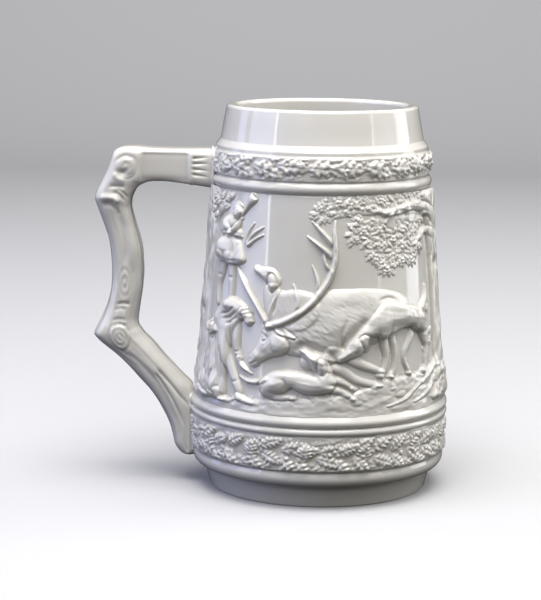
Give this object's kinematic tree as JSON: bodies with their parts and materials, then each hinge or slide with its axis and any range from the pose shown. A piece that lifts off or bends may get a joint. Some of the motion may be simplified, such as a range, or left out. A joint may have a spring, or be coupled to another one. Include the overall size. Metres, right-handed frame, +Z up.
{
  "type": "beer stein",
  "caption": "Tall tapered stoneware drinking mug with a branch-shaped side handle, leaf bands and applied hunting reliefs round the wall.",
  "frame": {"origin": "on the body's axis, in the plane the foot ring stands on", "axes": "+Z up along the body's axis, -X towards the handle, -Y towards the main scene"},
  "size_m": [0.1416, 0.1032, 0.152],
  "materials": {
    "body_glaze": "gloss",
    "handle_glaze": "gloss",
    "relief_glaze": "gloss",
    "slip": "gloss"
  },
  "bodies": {
    "root": {"vessel": "body_glaze", "handle": "handle_glaze", "handle_lute_upper": "slip", "handle_lute_lower": "slip", "leaf_band_upper": "relief_glaze", "leaf_band_lower": "relief_glaze", "hound_lying": "relief_glaze", "hound_standing": "relief_glaze", "hound_seated": "relief_glaze", "hound_behind": "relief_glaze", "huntsman_kneeling": "relief_glaze", "huntsman_horn": "relief_glaze", "stag": "relief_glaze", "oak_foliage": "relief_glaze", "oak_tree": "relief_glaze", "beech_tree": "relief_glaze", "resting_doe": "relief_glaze", "trotting_hound": "relief_glaze", "back_foliage": "relief_glaze", "back_oak": "relief_glaze", "turf": "relief_glaze"}
  },
  "joints": []
}
